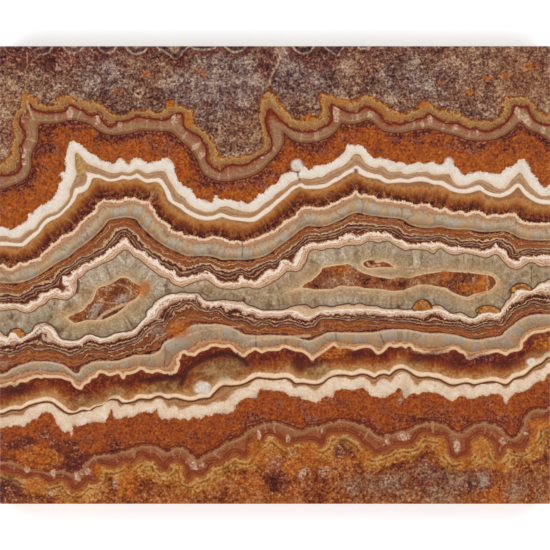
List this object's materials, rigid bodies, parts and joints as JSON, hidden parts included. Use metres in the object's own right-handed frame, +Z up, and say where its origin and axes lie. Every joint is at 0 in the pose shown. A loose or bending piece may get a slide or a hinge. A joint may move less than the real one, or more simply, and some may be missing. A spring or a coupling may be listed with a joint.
{
  "type": "tiger onyx slab",
  "caption": "Flat rectangular slab of banded onyx with a polished face, a sawn back and eased edges.",
  "frame": {"origin": "middle of the sawn back face that the slab rests on", "axes": "+X along the long side, the way the bands run; +Y across the bands, towards the top of the pictured face; +Z up through the thickness, out of the polished face"},
  "size_m": [0.305, 0.2534, 0.02],
  "materials": {
    "onyx": "polished face, sawn edges and back"
  },
  "bodies": {
    "root": {"slab": "onyx"}
  },
  "joints": []
}
